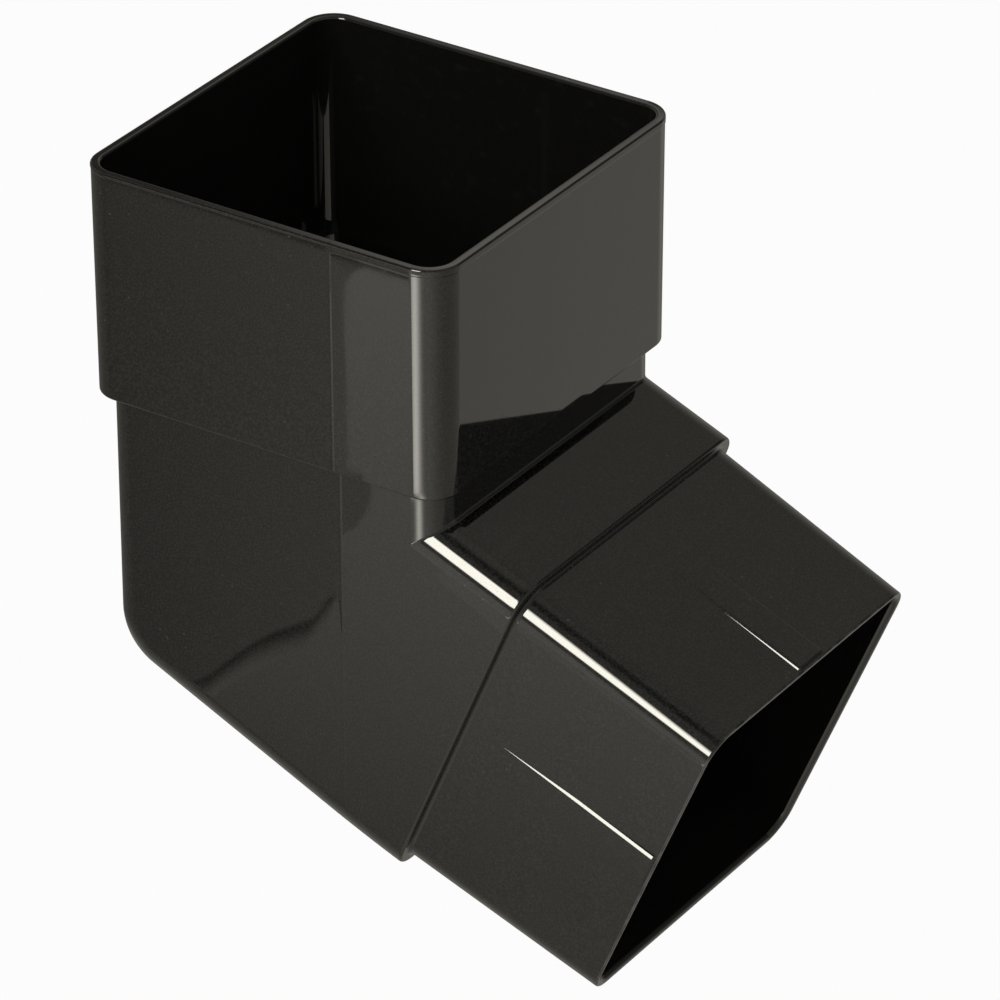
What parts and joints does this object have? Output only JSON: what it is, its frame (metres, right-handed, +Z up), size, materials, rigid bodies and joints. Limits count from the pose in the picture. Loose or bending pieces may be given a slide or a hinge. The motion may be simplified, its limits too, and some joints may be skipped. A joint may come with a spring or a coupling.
{
  "type": "downspout elbow",
  "caption": "Black moulded square downspout elbow: pipe socket on top, bent hollow body, and a tapered spigot with fit ramps leading down at an angle.",
  "frame": {"origin": "middle of the pipe stop, the ledge inside the socket on which the upper pipe lands", "axes": "+Z up the socket's axis to its mouth; +X to the side the spigot points to; Y across, square to the plane of the bend"},
  "size_m": [0.1216, 0.072, 0.131],
  "materials": {
    "black_pvc": "glossy moulded black"
  },
  "bodies": {
    "root": {"downspout_elbow": "black_pvc"}
  },
  "joints": []
}
